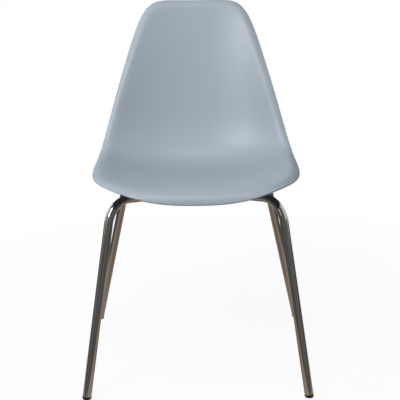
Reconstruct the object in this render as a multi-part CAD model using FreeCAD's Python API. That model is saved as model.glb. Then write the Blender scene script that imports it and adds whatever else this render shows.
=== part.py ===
import FreeCAD, Part
import math
import os

from FreeCAD import Placement, Rotation, Vector

# A dining chair: a moulded plastic seat shell, screwed to an X-shaped frame of two bent tubes.
# Sizes are in millimetres. X runs across the chair, the sitter faces -Y, Z is up, and the feet
# stand on Z = 0. Pieces are made round the crossing of the tubes, and saved moved back by
# CROSSING_FROM_MIDDLE, so that the origin ends up under the middle of the whole chair.
CROSSING_FROM_MIDDLE = -21.2

# Seat shell: control stations down its middle line, from the front lip to the top edge, each
# with its depth (Y), its height (Z), half the width across and the rise of the sides there.
STATIONS = (
    (-228, 420, 233, 11),
    (-231, 455, 233, 14),
    (-165, 452, 243, 20),
    (-60, 431, 238, 35),
    (40, 420, 231, 49),
    (133, 423, 226, 60),
    (187, 490, 215.5, 66),
    (210, 604, 188, 54),
    (240, 720, 162, 36),
    (274, 819, 157, 17),
)
WALL = 5.0
FRONT_CORNER_POWER = 2.7
TOP_CORNER_POWER = 6.8
SIDE_RISE_POWER = 2.3
ROLL_WIDTH = 22.0
ROLL_RADIUS = 20.0
ROLL_STRIPS = 3
RIM_STRIPS = 2
OUTLINE_POINTS = 64
PATCH_STATIONS = 30
PATCH_COLUMNS = 15
PATCH_MARGIN = 0.01

# Leg frame: two bent tubes, front and rear. The shoulder is the corner between a leg and the run
# under the seat, and the crossing is where the two tubes meet. The rear tube has shorter runs and
# legs that splay more, and both are given here as if they were at the front right.
TUBE_RADIUS = 9.5
TUBE_WALL = 1.5
BEND_RADIUS = 57.0
FOOT = {"front": Vector(238.8, -237.0, 0), "rear": Vector(258.1, -237.0, 0)}
SHOULDER = Vector(180.2, -149.9, 416.0)
RUN_SHARE = {"front": 1.0, "rear": 0.913}
CROSSING_HEIGHT = 396.0
CROSSING_GAP = 0.4

# Weld plate under the crossing, coped by the tubes that sit a little way into it.
CROSSING_PLATE_SIZE = (54.0, 40.0)
CROSSING_PLATE_THICKNESS = 3.0
CROSSING_PLATE_CORNER = 8.0
CROSSING_PLATE_SEAT = 1.0

# Seat mounts: on each run a welded tab, then a pad, a moulded boss, an insert and a screw.
MOUNT_ALONG_RUN = 130.0
MOUNT_OFF_RUN = 27.0
TAB_TOP = 405.0
TAB_THICKNESS = 3.0
TAB_WIDTH = 30.0
TAB_HOLE_RADIUS = 3.5
WELD_RADIUS = 2.5
WELD_MARGIN = 3.0
PAD_THICKNESS = 3.0
PAD_RADIUS = 13.0
BOSS_FOOT_RADIUS = 11.0
BOSS_DRAFT = 0.06
BOSS_HEIGHT = 60.0
RIB_THICKNESS = 3.0
RIB_REACH = 27.0
RIB_CLEARANCE = 5.0
RIB_ROOT = 1.0
INSERT_RADIUS = 4.5
INSERT_LENGTH = 13.0
SCREW_RADIUS = 3.0
SCREW_PLAY = 0.05
SCREW_LENGTH = 19.0
SCREW_HEAD_RADIUS = 5.25
SCREW_HEAD_HEIGHT = 3.3
SCREW_CROWN_RADIUS = 3.4
SCREW_CROWN_HEIGHT = 2.3
SOCKET_RADIUS = 2.3
SOCKET_DEPTH = 2.0
WASHER_HOLE_RADIUS = 3.2
FLAT_WASHER = (7.0, 1.2)
LOCK_WASHER = (5.3, 1.6)
LOCK_WASHER_SLIT = 0.8

# Foot caps, measured up the leg's axis from the floor.
TUBE_END = 5.5
CAP_FLANGE_RADIUS = 10.2
CAP_FLANGE_HEIGHT = 2.4
CAP_SOLE_RADIUS = 6.8
CAP_SOLE_DEPTH = 7.0
CAP_STEM_LENGTH = 20.0
CAP_STEM_PLAY = 0.4

UP = Vector(0, 0, 1)
SMALL = 1e-4
ENDS = ("front", "rear")
SIDES = ("left", "right")


def placed(shape, end, side="right"):
    """A piece made at the front right, mirrored to its own end and side of the chair."""
    if side == "left":
        shape = shape.mirror(Vector(), Vector(1, 0, 0))
    if end == "rear":
        shape = shape.mirror(Vector(), Vector(0, 1, 0))
    return shape


def all_four(shape):
    return [placed(shape, end, side) for end in ENDS for side in SIDES]


def save(name, shape):
    """Write one node, moved back round the origin, and report its solids."""
    shape = shape.translated(Vector(0, CROSSING_FROM_MIDDLE, 0))
    state = "valid" if shape.isValid() else "NOT VALID"
    print(f"{name}: {len(shape.Solids)} solid, {shape.Volume / 1000:.2f} cm3, {state}")
    shape.exportStep(f"parts/{name}.step")


# The shell's upper face, as a formula

def station(t):
    """Depth, height, half width and side rise at t, from 0 at the lip to 1 at the top edge."""
    spans = len(STATIONS) - 3
    knots = [0.0] * 3 + [i / spans for i in range(spans + 1)] + [1.0] * 3
    first = min(max(int(t * spans), 0), spans - 1)
    rows = [list(row) for row in STATIONS[first:first + 4]]
    for level in range(1, 4):
        for i in range(3, level - 1, -1):
            low = knots[first + i]
            share = (t - low) / (knots[first + 4 + i - level] - low)
            rows[i] = [a + share * (b - a) for a, b in zip(rows[i - 1], rows[i])]
    return rows[3]


def upper_face(across, t, roll=0.0):
    """Point at a share of the half width and at t, rolled down by a distance."""
    y, z, half_width, rise = station(t)
    back, ahead = station(t - SMALL), station(t + SMALL)
    along_y, along_z = ahead[0] - back[0], ahead[1] - back[1]
    lift = (rise * abs(across) ** SIDE_RISE_POWER - roll) / math.hypot(along_y, along_z)
    return Vector(across * half_width, y - lift * along_z, z + lift * along_y)


def edge_gauge(x, t):
    """0 at the middle of the shell, 1 on its outline, and even along curves like the outline."""
    power = FRONT_CORNER_POWER if t < 0.5 else TOP_CORNER_POWER
    across = abs(x) / station(t)[2]
    return (across ** power + abs(2 * t - 1) ** power) ** (1 / power)


def outline(turn):
    """Share of the half width and of the half length at a turn round the shell from the front."""
    across, along = math.sin(turn), math.cos(turn)
    power = FRONT_CORNER_POWER if along > 0 else TOP_CORNER_POWER
    size = (abs(across) ** power + abs(along) ** power) ** (1 / power)
    return across / size, along / size


def gauge_per_mm(turn):
    """How fast the gauge grows towards the outline at a turn."""
    across, along = outline(turn)
    t = 0.5 - 0.5 * along
    x = across * station(t)[2]
    back, ahead = station(t - SMALL), station(t + SMALL)
    length = math.hypot(ahead[0] - back[0], ahead[1] - back[1])
    over_t = (edge_gauge(x, t + SMALL) - edge_gauge(x, t - SMALL)) / length
    over_x = (edge_gauge(x + SMALL, t) - edge_gauge(x - SMALL, t)) / (2 * SMALL)
    return math.hypot(over_t, over_x)


def border_place(turn, inset):
    """Share of the half width, and t, at a distance in from the outline."""
    across, along = outline(turn)
    gauge = 1 - inset * gauge_per_mm(turn)
    return across * gauge, 0.5 - 0.5 * along * gauge


def border(turn, inset):
    """Point of the upper face near the outline, where it rolls down to the edge."""
    across, t = border_place(turn, inset)
    roll = max(ROLL_WIDTH - inset, 0) ** 2 / (2 * ROLL_RADIUS)
    return upper_face(across, t, roll)


def directions(place, a, b):
    """Unit normal and unit direction of growing b, on a face given by a formula."""
    over_a = place(a + SMALL, b) - place(a - SMALL, b)
    over_b = place(a, b + SMALL) - place(a, b - SMALL)
    normal = over_a.cross(over_b)
    return normal.normalize(), over_b.normalize()


def below(place, a, b, depth):
    """Point a depth under the upper face."""
    normal, _ = directions(place, a, b)
    return place(a, b) - normal * depth


# The shell as a solid

def turns():
    return [2 * math.pi * i / OUTLINE_POINTS for i in range(OUTLINE_POINTS)]


def ring(point_at):
    """Closed smooth curve round the shell."""
    curve = Part.BSplineCurve()
    places = turns()
    curve.interpolate(
        Points=[point_at(turn) for turn in places],
        PeriodicFlag=True,
        Parameters=places + [2 * math.pi],
    )
    return Part.Wire(curve.toShape())


def middle_patch(depth):
    """The skin inside its rolled border, at a depth in the wall."""
    grid = []
    for i in range(PATCH_STATIONS):
        t = -PATCH_MARGIN + (1 + 2 * PATCH_MARGIN) * i / (PATCH_STATIONS - 1)
        shares = [-1 + 2 * j / (PATCH_COLUMNS - 1) for j in range(PATCH_COLUMNS)]
        grid.append([below(upper_face, share, t, depth) for share in shares])
    surface = Part.BSplineSurface()
    surface.interpolate(grid)
    places = turns()
    trim = []
    for turn in places:
        across, t = border_place(turn, ROLL_WIDTH)
        trim.append(FreeCAD.Base.Vector2d(*surface.parameter(below(upper_face, across, t, depth))))
    curve = Part.Geom2d.BSplineCurve2d()
    curve.interpolate(trim, PeriodicFlag=True, Parameters=places + [2 * math.pi])
    return Part.Face(surface, Part.Wire(curve.toShape(surface)))


def border_rings(depth, patch):
    """Rings of the rolled border, from the patch's edge out to the shell's outline."""
    rings = [patch.OuterWire]
    for i in range(1, ROLL_STRIPS + 1):
        inset = ROLL_WIDTH * (1 - i / ROLL_STRIPS)
        rings.append(ring(lambda turn, d=inset: below(border, turn, d, depth)))
    return rings


def edge_point(turn, angle):
    """Point of the half-round edge, from 0 at the upper face to pi at the lower one."""
    normal, inward = directions(border, turn, 0)
    centre = border(turn, 0) - normal * (WALL / 2)
    return centre + (normal * math.cos(angle) - inward * math.sin(angle)) * (WALL / 2)


def shell_wall():
    """Seat and back in one curved wall with a rolled border and a rounded edge."""
    faces = []
    edges = []
    for depth in (0, WALL):
        patch = middle_patch(depth)
        rings = border_rings(depth, patch)
        faces.append(patch)
        faces.extend(Part.makeLoft(rings, False, True).Faces)
        edges.append(rings[-1])
    rims = [edges[0]]
    for i in range(1, RIM_STRIPS):
        rims.append(ring(lambda turn, a=math.pi * i / RIM_STRIPS: edge_point(turn, a)))
    rims.append(edges[1])
    faces.extend(Part.makeLoft(rims, False, True).Faces)
    skin = Part.makeShell(faces)
    skin.sewShape()
    wall = Part.Solid(skin)
    if wall.Volume < 0:
        wall.reverse()
    return wall


def space_above_wall():
    """Everything over the middle of the wall round the bosses, to trim them with."""
    count = 15
    reach, start, end = 0.8, 0.2, 0.56
    grid = []
    for i in range(count):
        t = start + (end - start) * i / (count - 1)
        shares = [reach * (2 * j / (count - 1) - 1) for j in range(count)]
        grid.append([below(upper_face, share, t, WALL / 2) for share in shares])
    surface = Part.BSplineSurface()
    surface.interpolate(grid)
    return surface.toShape().extrude(UP * (2 * BOSS_HEIGHT))


# The leg frame's geometry

def run_direction():
    """Unit direction of the front right run, from the crossing out to the shoulder."""
    return (SHOULDER - crossing_corner()).normalize()


def crossing_corner():
    """Corner of the front tube over the middle of the chair, where its bend comes nearest."""
    nearest = TUBE_RADIUS + CROSSING_GAP / 2
    corner_y = 0.0
    for _ in range(20):
        half_turn = math.atan2(corner_y - SHOULDER.y, SHOULDER.x)
        corner_y = BEND_RADIUS * (1 / math.cos(half_turn) - 1) - nearest
    return Vector(0, corner_y, CROSSING_HEIGHT)


def crossing_bend_middle():
    """Middle of the front tube's bend at the crossing, on the tube's middle line."""
    corner = crossing_corner()
    sides = [(Vector(x, SHOULDER.y, SHOULDER.z) - corner).normalize() for x in (-SHOULDER.x, SHOULDER.x)]
    half_angle = sides[0].getAngle(sides[1]) / 2
    inward = (sides[0] + sides[1]).normalize()
    return corner + inward * (BEND_RADIUS / math.sin(half_angle) - BEND_RADIUS)


def shoulder(end):
    """Corner between run and leg, on the same line for both tubes."""
    corner = crossing_corner()
    return corner + (SHOULDER - corner) * RUN_SHARE[end]


def leg_direction(end):
    return (shoulder(end) - FOOT[end]).normalize()


def mount_point():
    """Axis of the front right mount at floor height."""
    run = run_direction()
    on_run = crossing_corner() + run * MOUNT_ALONG_RUN
    aside = Vector(-run.y, run.x, 0).normalize()
    hole = on_run + aside * MOUNT_OFF_RUN
    return Vector(hole.x, hole.y, 0)


def tube_corners(end):
    """Ends and corners of a tube's middle line."""
    half = [FOOT[end] + leg_direction(end) * TUBE_END, shoulder(end)]
    mirrored = [Vector(-p.x, p.y, p.z) for p in reversed(half)]
    return half + [crossing_corner()] + mirrored


def round_bar(corners, radius):
    """Round bar in straight runs joined by tangent bends."""
    pieces = []
    start = corners[0]
    for before, corner, after in zip(corners, corners[1:], corners[2:]):
        inward = (before - corner).normalize()
        outward = (after - corner).normalize()
        half_angle = inward.getAngle(outward) / 2
        bend_start = corner + inward * (BEND_RADIUS / math.tan(half_angle))
        bend_end = corner + outward * (BEND_RADIUS / math.tan(half_angle))
        centre = corner + (inward + outward).normalize() * (BEND_RADIUS / math.sin(half_angle))
        pieces.append(Part.makeCylinder(radius, start.distanceToPoint(bend_start), start, -inward))
        section = Part.Face(Part.Wire(Part.makeCircle(radius, bend_start, inward)))
        turn = 180 - 2 * math.degrees(half_angle)
        pieces.append(section.revolve(centre, outward.cross(inward), turn))
        start = bend_end
    last = corners[-1]
    pieces.append(Part.makeCylinder(radius, start.distanceToPoint(last), start, last - start))
    return pieces[0].fuse(pieces[1:]).removeSplitter()


def leg_tube_bar(end):
    """A tube without its bore."""
    return round_bar(tube_corners(end), TUBE_RADIUS)


def leg_tube(end):
    return leg_tube_bar(end).cut(round_bar(tube_corners(end), TUBE_RADIUS - TUBE_WALL))


# Pieces of one mount, at the front right corner

def upright(radius, low, height):
    """Upright cylinder on the mount's axis."""
    return Part.makeCylinder(radius, height, mount_point() + UP * low)


def insert_bottom():
    return TAB_TOP + PAD_THICKNESS


def mount_boss():
    """Tapered boss with three ribs, left long to be trimmed in the shell's wall."""
    foot = mount_point() + UP * insert_bottom()
    head_radius = BOSS_FOOT_RADIUS + BOSS_DRAFT * BOSS_HEIGHT
    boss = Part.makeCone(BOSS_FOOT_RADIUS, head_radius, BOSS_HEIGHT, foot)
    low = foot.z + RIB_CLEARANCE
    rib_outline = [
        Vector(0, 0, low),
        Vector(BOSS_FOOT_RADIUS - RIB_ROOT, 0, low),
        Vector(RIB_REACH, 0, low + RIB_REACH - BOSS_FOOT_RADIUS),
        Vector(RIB_REACH, 0, low + BOSS_HEIGHT),
        Vector(0, 0, low + BOSS_HEIGHT),
    ]
    rib = Part.Face(Part.makePolygon(rib_outline + rib_outline[:1]))
    rib = rib.extrude(Vector(0, RIB_THICKNESS, 0)).translated(Vector(0, -RIB_THICKNESS / 2, 0))
    run = run_direction()
    heading = math.degrees(math.atan2(run.y, run.x))
    axis = Vector(foot.x, foot.y, 0)
    for turn in (0, 90, 180):
        placement = Placement(axis, Rotation(UP, heading + turn))
        boss = boss.fuse(rib.transformed(placement.toMatrix()))
    return boss


def insert_pocket():
    return upright(INSERT_RADIUS, insert_bottom(), INSERT_LENGTH)


def threaded_insert():
    """Metal bush moulded into the boss, flush with its foot."""
    bore = upright(SCREW_RADIUS + SCREW_PLAY, insert_bottom(), INSERT_LENGTH)
    return insert_pocket().cut(bore)


def mount_tab():
    """Flat tab with a round end, coped round the tube and welded to its side."""
    run = run_direction()
    hole = mount_point() + UP * (TAB_TOP - TAB_THICKNESS)
    heading = math.degrees(math.atan2(run.y, run.x))
    straight = Part.makeBox(TAB_WIDTH, MOUNT_OFF_RUN, TAB_THICKNESS)
    straight.translate(Vector(-TAB_WIDTH / 2, -MOUNT_OFF_RUN, 0))
    end = Part.makeCylinder(TAB_WIDTH / 2, TAB_THICKNESS)
    tab = straight.fuse(end)
    bead_start = Vector(WELD_MARGIN - TAB_WIDTH / 2, TUBE_RADIUS - MOUNT_OFF_RUN, TAB_THICKNESS)
    bead_length = TAB_WIDTH - 2 * WELD_MARGIN
    tab = tab.fuse(Part.makeCylinder(WELD_RADIUS, bead_length, bead_start, Vector(1, 0, 0)))
    tab = tab.cut(Part.makeCylinder(TAB_HOLE_RADIUS, TAB_THICKNESS))
    tab = tab.transformed(Placement(hole, Rotation(UP, heading)).toMatrix())
    return max(tab.cut(leg_tube_bar("front")).Solids, key=lambda solid: solid.Volume)


def rubber_pad():
    """Round pad between tab and boss."""
    pad = upright(PAD_RADIUS, TAB_TOP, PAD_THICKNESS)
    return pad.cut(upright(TAB_HOLE_RADIUS, TAB_TOP, PAD_THICKNESS))


def flat_washer():
    radius, thickness = FLAT_WASHER
    low = TAB_TOP - TAB_THICKNESS - thickness
    return upright(radius, low, thickness).cut(upright(WASHER_HOLE_RADIUS, low, thickness))


def lock_washer():
    """Split spring washer under the screw's head."""
    radius, thickness = LOCK_WASHER
    low = TAB_TOP - TAB_THICKNESS - FLAT_WASHER[1] - thickness
    washer = upright(radius, low, thickness).cut(upright(WASHER_HOLE_RADIUS, low, thickness))
    slit = Part.makeBox(radius + 1, LOCK_WASHER_SLIT, thickness)
    slit.translate(mount_point() + Vector(0, -LOCK_WASHER_SLIT / 2, low))
    return washer.cut(slit)


def seat_screw():
    """Screw with a crowned head and a hexagon socket, threaded up into the insert."""
    head_top = TAB_TOP - TAB_THICKNESS - FLAT_WASHER[1] - LOCK_WASHER[1]
    head_bottom = head_top - SCREW_HEAD_HEIGHT
    base = mount_point() + UP * head_bottom
    head = Part.makeCone(SCREW_CROWN_RADIUS, SCREW_HEAD_RADIUS, SCREW_CROWN_HEIGHT, base)
    rim_height = SCREW_HEAD_HEIGHT - SCREW_CROWN_HEIGHT
    head = head.fuse(upright(SCREW_HEAD_RADIUS, head_top - rim_height, rim_height))
    corners = [Vector(SOCKET_RADIUS, 0, 0)]
    for i in range(1, 7):
        corners.append(Rotation(UP, 60 * i).multVec(corners[0]))
    socket = Part.Face(Part.makePolygon(corners)).extrude(UP * SOCKET_DEPTH)
    socket.translate(base)
    return head.fuse(upright(SCREW_RADIUS, head_top, SCREW_LENGTH)).cut(socket)


def crossing_plate():
    """Plate with round corners, welded under the two tubes where they meet."""
    length, width = CROSSING_PLATE_SIZE
    top = crossing_bend_middle().z - TUBE_RADIUS + CROSSING_PLATE_SEAT
    plate = Part.makeBox(length, width, CROSSING_PLATE_THICKNESS)
    plate.translate(Vector(-length / 2, -width / 2, top - CROSSING_PLATE_THICKNESS))
    upright_edges = [e for e in plate.Edges if abs(e.tangentAt(e.FirstParameter).z) > 0.9]
    plate = plate.makeFillet(CROSSING_PLATE_CORNER, upright_edges)
    return plate.cut([placed(leg_tube_bar(end), end) for end in ENDS])


def foot_cap(end):
    """Plug with a stem in the tube, a flange and a tapered sole cut flat on the floor."""
    stem_radius = TUBE_RADIUS - TUBE_WALL - CAP_STEM_PLAY
    low = TUBE_END - CAP_FLANGE_HEIGHT
    sole_start = UP * (low - CAP_SOLE_DEPTH)
    cap = Part.makeCone(CAP_SOLE_RADIUS, CAP_FLANGE_RADIUS, CAP_SOLE_DEPTH, sole_start)
    cap = cap.fuse(Part.makeCylinder(CAP_FLANGE_RADIUS, CAP_FLANGE_HEIGHT, UP * low))
    cap = cap.fuse(Part.makeCylinder(stem_radius, CAP_STEM_LENGTH, UP * TUBE_END))
    foot = FOOT[end]
    cap = cap.transformed(Placement(foot, Rotation(UP, leg_direction(end))).toMatrix())
    block = 4 * CAP_FLANGE_RADIUS
    ground = Part.makeBox(block, block, block, foot - Vector(block / 2, block / 2, block))
    return cap.cut(ground)


def seat_shell():
    """The moulded shell with its four bosses, bored for the inserts."""
    above = space_above_wall()
    shell = shell_wall().fuse([boss.cut(above) for boss in all_four(mount_boss())])
    return shell.cut(all_four(insert_pocket()))


def main():
    os.makedirs("parts", exist_ok=True)
    save("seat_shell", seat_shell())
    save("crossing_plate", crossing_plate())
    for end in ENDS:
        save(f"{end}_leg_tube", placed(leg_tube(end), end))
        corner_pieces = {
            "mount_tab": mount_tab(),
            "rubber_pad": rubber_pad(),
            "threaded_insert": threaded_insert(),
            "foot_cap": foot_cap(end),
        }
        for name, piece in corner_pieces.items():
            for side in SIDES:
                save(f"{name}_{end}_{side}", placed(piece, end, side))
    fasteners = {
        "flat_washers": flat_washer(),
        "lock_washers": lock_washer(),
        "seat_screws": seat_screw(),
    }
    for name, piece in fasteners.items():
        save(name, Part.makeCompound(all_four(piece)))


main()
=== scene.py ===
import math

import bmesh
import bpy
import numpy as np
from bpy.props import FloatProperty, FloatVectorProperty, IntProperty, PointerProperty
from mathutils import Matrix, Vector
from mathutils.bvhtree import BVHTree


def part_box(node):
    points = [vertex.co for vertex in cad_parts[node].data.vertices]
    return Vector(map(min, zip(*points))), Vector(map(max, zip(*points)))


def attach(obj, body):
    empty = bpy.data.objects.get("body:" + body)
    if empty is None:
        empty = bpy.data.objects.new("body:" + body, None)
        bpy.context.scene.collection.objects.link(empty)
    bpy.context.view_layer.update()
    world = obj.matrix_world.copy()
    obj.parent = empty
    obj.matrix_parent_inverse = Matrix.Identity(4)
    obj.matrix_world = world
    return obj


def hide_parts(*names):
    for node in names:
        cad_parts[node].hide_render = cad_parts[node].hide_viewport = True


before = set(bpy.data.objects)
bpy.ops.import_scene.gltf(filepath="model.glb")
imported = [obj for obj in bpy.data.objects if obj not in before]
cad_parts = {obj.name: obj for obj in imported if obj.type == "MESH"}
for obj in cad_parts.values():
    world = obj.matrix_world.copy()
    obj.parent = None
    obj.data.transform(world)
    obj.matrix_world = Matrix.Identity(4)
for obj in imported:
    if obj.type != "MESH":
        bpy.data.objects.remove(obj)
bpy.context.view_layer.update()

bl_info = {
    "name": "Shell Chair",
    "version": (1, 0, 0),
    "blender": (4, 5, 0),
    "location": "3D View > Sidebar > Chair",
    "description": "Builds a moulded plastic shell chair on a frame of two bent tubes",
    "category": "Add Mesh",
}

# Sizes are in metres in the chair's own frame: X across, the sitter faces -Y, Z up, the feet on
# Z = 0 and the origin under the middle of the chair.
BODY = "root"
UP = Vector((0, 0, 1))

# Each corner's side and end: 1 at the right and at the front, -1 at the left and at the rear.
CORNERS = {
    "front_left": (-1, 1),
    "front_right": (1, 1),
    "rear_left": (-1, -1),
    "rear_right": (1, -1),
}

# Seat shell: control stations down its middle line, from the front lip to the top edge, each
# with its depth (Y) from the tubes' crossing, its height, half its width and the side rise.
STATIONS = np.array([
    (-0.238, 0.4285, 0.233, 0.011),
    (-0.226, 0.4520, 0.233, 0.014),
    (-0.165, 0.452, 0.243, 0.020),
    (-0.060, 0.431, 0.238, 0.035),
    (0.040, 0.420, 0.231, 0.049),
    (0.133, 0.423, 0.226, 0.060),
    (0.187, 0.490, 0.2155, 0.066),
    (0.210, 0.604, 0.188, 0.054),
    (0.240, 0.720, 0.162, 0.036),
    (0.274, 0.819, 0.157, 0.017),
])
FRONT_CORNER_POWER = 2.7
TOP_CORNER_POWER = 6.8
SIDE_RISE_POWER = 2.3

# How far up the shell from the lip, out of 1, its border opens wider.
FRONT_OPENING_SPAN = 0.34

# Step over which the shell's slopes are measured.
STEP = 1e-4

# How deep bosses and ribs reach into the shell, as a share of its wall.
ROOT_IN_WALL = 0.4

# Leg frame: the crossing of the tubes, and from it the feet, both as if at the front right, and
# the front right shoulder. The rear tube has shorter runs and legs that splay more.
FRONT_TUBE_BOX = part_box("front_leg_tube")
REAR_TUBE_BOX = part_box("rear_leg_tube")
CROSSING = Vector((0, (FRONT_TUBE_BOX[0][1] + REAR_TUBE_BOX[1][1]) / 2, 0.396))
FOOT = {"front": Vector((0.2388, -0.237, 0)), "rear": Vector((0.2581, -0.237, 0))}
SHOULDER = Vector((0.1802, -0.1499, 0.416))
RUN_SHARE = {"front": 1.0, "rear": 0.913}
CROSSING_GAP = 0.0004
PLATE_CORNER = 0.008

# How far a tube stops short of the floor, along its leg.
TUBE_END = 0.0055

# Foot cap: radius and height of its sole's profile, the height from the underside of the flange.
CAP_SOLE = (
    (0, -0.0068),
    (0.0056, -0.0067),
    (0.0071, -0.0060),
    (0.0084, -0.0036),
    (0.0092, -0.0018),
    (0.0097, -0.0007),
)

# Seat mounts: the place along the front right run and beside it, and the tabs' upper face.
MOUNT_ALONG_RUN = 0.130
MOUNT_OFF_RUN = 0.027
TAB_TOP = 0.405

# How far a weld bead stands off the edge that it lies along.
WELD_OFFSET = 0.0004

# Pale panels of the room that the metal mirrors: azimuth from the front towards the right, width,
# lowest and highest elevation in degrees, and brightness.
PANELS = (
    ("left_panel", -112, 56, 6, 48, 0.95),
    ("right_panel", 112, 56, 6, 48, 1.25),
    ("left_strip", -38, 4, 13, 31, 2.8),
    ("right_strip", 52, 5, 17, 62, 4.4),
)

# Lamps: the setting that holds the power, place, width and height, and whether metal mirrors them.
LAMPS = (
    ("key", (-1.41, -2.01, 2.56), (0.5, 1.6), True),
    ("top", (0, -0.83, 3.59), (1.2, 1.2), True),
    ("side", (-2.73, 1.27, 1.59), (1.2, 1.2), False),
    ("low", (0, -3.2, 0.67), (1.2, 1.2), False),
)
LAMP_AIM = Vector((0, 0, 0.5))
WHITE = (1.0, 1.0, 1.0, 1.0)


# Node trees

class Wire:
    """A value in a node tree, which takes part in sums as a number does."""

    def __init__(self, graph, socket):
        self.graph = graph
        self.socket = socket

    def maths(self, operation, first, second):
        return self.graph.value("ShaderNodeMath", {"operation": operation}, {0: first, 1: second})

    def __add__(self, other):
        return self.maths("ADD", self, other)

    def __sub__(self, other):
        return self.maths("SUBTRACT", self, other)

    def __rsub__(self, other):
        return self.maths("SUBTRACT", other, self)

    def __mul__(self, other):
        return self.maths("MULTIPLY", self, other)

    __radd__ = __add__
    __rmul__ = __mul__

    def at_least(self, other):
        return self.maths("MAXIMUM", self, other)


class Graph:
    """Adds nodes to a tree: settings first, then the values or links of their sockets."""

    def __init__(self, tree):
        self.tree = tree

    def node(self, kind, settings=None, inputs=None):
        node = self.tree.nodes.new(kind)
        for name, value in (settings or {}).items():
            if name == "stops":
                self.set_stops(node.color_ramp, value)
            else:
                setattr(node, name, value)
        for key, value in (inputs or {}).items():
            self.feed(node.inputs[key], value)
        return node

    def set_stops(self, ramp, stops):
        while len(ramp.elements) < len(stops):
            ramp.elements.new(1)
        for element, (position, grey) in zip(ramp.elements, stops):
            element.position = position
            element.color = (grey, grey, grey, 1)

    def feed(self, socket, value):
        if isinstance(value, Wire):
            value = value.socket
        if isinstance(value, bpy.types.NodeSocket):
            self.tree.links.new(value, socket)
        else:
            socket.default_value = value

    def value(self, kind, settings=None, inputs=None, output=0):
        return Wire(self, self.node(kind, settings, inputs).outputs[output])

    def noise(self, place, scale, detail=2.0, roughness=0.5):
        inputs = {"Vector": place, "Scale": scale, "Detail": detail, "Roughness": roughness}
        return self.value("ShaderNodeTexNoise", None, inputs)

    def ramp(self, factor, start, end):
        """From 0 to 1 as a factor goes from start to end."""
        return self.value("ShaderNodeValToRGB", {"stops": [(start, 0.0), (end, 1.0)]}, {"Fac": factor})

    def blend(self, factor, first, second):
        """Colour between two colours, each with its alpha."""
        settings = {"data_type": "RGBA", "clamp_factor": True}
        node = self.node("ShaderNodeMix", settings, {0: factor, 6: first, 7: second})
        return Wire(self, node.outputs[2])

    def distance(self, place):
        """Distance of a place from the origin."""
        return self.value("ShaderNodeVectorMath", {"operation": "LENGTH"}, {0: place}, output="Value")

    def rise(self, value, low, high, from_level=0.0, to_level=1.0):
        """From one level softly to another as a value goes from low to high."""
        inputs = {"Value": value, "From Min": low, "From Max": high}
        inputs.update({"To Min": from_level, "To Max": to_level})
        return self.value("ShaderNodeMapRange", {"interpolation_type": "SMOOTHSTEP"}, inputs)

    def glow(self, colour, strength=1.0):
        return self.value("ShaderNodeEmission", None, {"Color": colour, "Strength": strength})

    def mix_shaders(self, share, first, second):
        return self.value("ShaderNodeMixShader", None, {0: share, 1: first, 2: second})

    def finish(self, shader, kind="Material"):
        self.node("ShaderNodeOutput" + kind, None, {"Surface": shader})

    def vector(self, **parts):
        """Vector with the given parts, and 0 for the rest."""
        return self.value("ShaderNodeCombineXYZ", None, parts)

    def chance(self, low, high, seed):
        """Number by chance, another at each point."""
        inputs = {2: low, 3: high, "Seed": seed}
        return self.value("FunctionNodeRandomValue", {"data_type": "FLOAT"}, inputs, output=1)

    def spread(self, points, piece, **placing):
        """A piece at every point, turned or scaled."""
        inputs = {"Points": points, "Instance": piece, **placing}
        return self.value("GeometryNodeInstanceOnPoints", None, inputs)

    def fillet(self, curve, radius, steps):
        """A curve of straight runs with its corners rounded."""
        inputs = {"Curve": curve, "Radius": radius, "Count": steps}
        return self.value("GeometryNodeFilletCurve", {"mode": "POLY"}, inputs)

    def sweep(self, path, section):
        inputs = {"Curve": path, "Profile Curve": section, "Fill Caps": True}
        return self.value("GeometryNodeCurveToMesh", None, inputs)


def new_material(name):
    """A material with an empty tree, the tree's helper and its Object coordinates."""
    material = bpy.data.materials.new(name)
    material.use_nodes = True
    material.node_tree.nodes.clear()
    graph = Graph(material.node_tree)
    return material, graph, graph.value("ShaderNodeTexCoord", output="Object")


def finish_material(material, graph, shader_inputs, bump_height=None, bump_depth=0.0):
    """Feed the surface shader and the output, with a bump where a height is given."""
    if bump_height is not None:
        bump = {"Height": bump_height, "Strength": 1.0, "Distance": bump_depth}
        shader_inputs["Normal"] = graph.value("ShaderNodeBump", None, bump)
    graph.finish(graph.value("ShaderNodeBsdfPrincipled", None, shader_inputs))
    return material


def plain_finish(name):
    """The frame's own plain material of a slot."""
    return bpy.data.materials[name]


def shade(colour, factor=1.0):
    """A colour made lighter or darker, with full alpha."""
    return tuple(channel * factor for channel in colour[:3]) + (1.0,)


# Pieces and meshes

def add_object(name, data):
    piece = bpy.data.objects.new(name, data)
    bpy.context.scene.collection.objects.link(piece)
    return piece


def new_mesh(name, points, faces):
    mesh = bpy.data.meshes.new(name)
    mesh.from_pydata([tuple(point) for point in points], [], faces)
    mesh.update()
    return mesh


def mesh_object(name, points, faces, smooth=True):
    mesh = new_mesh(name, points, faces)
    if smooth:
        mesh.shade_smooth()
    return add_object(name, mesh)


def settle(piece, name):
    """Turn a piece with live modifiers, or a curve, into a plain mesh object of that name."""
    depsgraph = bpy.context.evaluated_depsgraph_get()
    mesh = bpy.data.meshes.new_from_object(piece.evaluated_get(depsgraph), depsgraph=depsgraph)
    mesh.name = name
    bpy.data.objects.remove(piece)
    return add_object(name, mesh)


def fit(piece, material, nodes=()):
    """Give a finished piece its material and body, and hide the nodes it stands for."""
    piece.data.materials.clear()
    piece.data.materials.append(material)
    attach(piece, BODY)
    if nodes:
        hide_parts(*nodes)


def corner_nodes(name):
    return [f"{name}_{corner}" for corner in CORNERS]


def keep_sharp(mesh, degrees):
    """Smooth faces with sharp edges where they meet at more than an angle."""
    mesh.shade_smooth()
    mesh.set_sharp_from_angle(angle=math.radians(degrees))


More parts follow.
